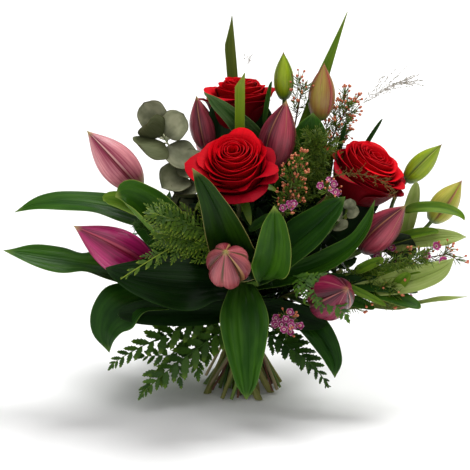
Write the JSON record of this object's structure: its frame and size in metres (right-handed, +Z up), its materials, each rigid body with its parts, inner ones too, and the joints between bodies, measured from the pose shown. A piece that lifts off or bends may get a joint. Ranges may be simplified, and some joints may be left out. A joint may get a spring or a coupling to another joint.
{
  "type": "flower bouquet",
  "caption": "Hand-tied bouquet of open red roses, pink lily buds with their leaves, ferns and sprigs, standing on the cut ends of its spiralled stems.",
  "frame": {"origin": "on the ground under the middle of the bouquet's box", "axes": "+Z up along the stems, +X to the bouquet's right seen from its front, +Y to its back"},
  "size_m": [0.433, 0.29, 0.362],
  "materials": {
    "twine": "matt twisted jute",
    "rose_petal": "velvety red petal, almost black in its folds",
    "bud_pink": "satin, pink with cream green seams",
    "bud_magenta": "satin, deep magenta",
    "bud_green": "satin yellow green with reddish seams",
    "leaf_dark": "glossy dark green, finely ribbed",
    "leaf_mid": "glossy green, finely ribbed",
    "leaf_light": "satin light green, finely ribbed",
    "fern": "satin fern green",
    "eucalyptus": "matt grey green with a waxy bloom",
    "waxflower": "waxy pink buds and needle leaves",
    "grass": "dry grass",
    "stem": "satin green bark"
  },
  "bodies": {
    "root": {"asparagus_fern": "fern", "binding_twine": "twine", "blade_centre": "leaf_light", "blade_left": "leaf_mid", "blade_right": "leaf_light", "bud_back_left": "bud_pink", "bud_behind": "bud_pink", "bud_centre": "bud_pink", "bud_far_right_lower": "bud_green", "bud_far_right_upper": "bud_green", "bud_front": "bud_pink", "bud_lower_left": "bud_magenta", "bud_lower_right": "bud_magenta", "bud_right": "bud_pink", "bud_top_green": "bud_green", "bud_top_right": "bud_green", "bud_upper_left": "bud_pink", "eucalyptus": "eucalyptus", "fern_behind": "fern", "fern_left": "fern", "fern_lower_left": "fern", "fern_lower_right": "fern", "leaf_back_left": "leaf_dark", "leaf_back_middle": "leaf_mid", "leaf_back_right": "leaf_dark", "leaf_centre_left": "leaf_mid", "leaf_centre_right": "leaf_light", "leaf_far_right_lower": "leaf_light", "leaf_far_right_upper": "leaf_light", "leaf_far_right_wavy": "leaf_light", "leaf_front_drooping": "leaf_mid", "leaf_front_left": "leaf_dark", "leaf_left_drooping": "leaf_dark", "leaf_left_lower": "leaf_dark", "leaf_left_rolled": "leaf_mid", "leaf_left_upper": "leaf_mid", "leaf_right_broad": "leaf_dark", "leaf_right_curving": "leaf_dark", "leaf_right_drooping": "leaf_dark", "leaf_top_left": "leaf_mid", "leaf_top_right": "leaf_dark", "lily_stem_back": "stem", "lily_stem_far_right": "stem", "lily_stem_front": "stem", "lily_stem_left": "stem", "lily_stem_right": "stem", "lily_stem_top": "stem", "panicum_grass": "grass", "rose_centre_inner_petals": "rose_petal", "rose_centre_outer_petals": "rose_petal", "rose_centre_stem": "stem", "rose_right_inner_petals": "rose_petal", "rose_right_outer_petals": "rose_petal", "rose_right_stem": "stem", "rose_top_inner_petals": "rose_petal", "rose_top_outer_petals": "rose_petal", "rose_top_stem": "stem", "waxflower_centre": "waxflower", "waxflower_right": "waxflower", "waxflower_top": "waxflower"}
  },
  "joints": []
}
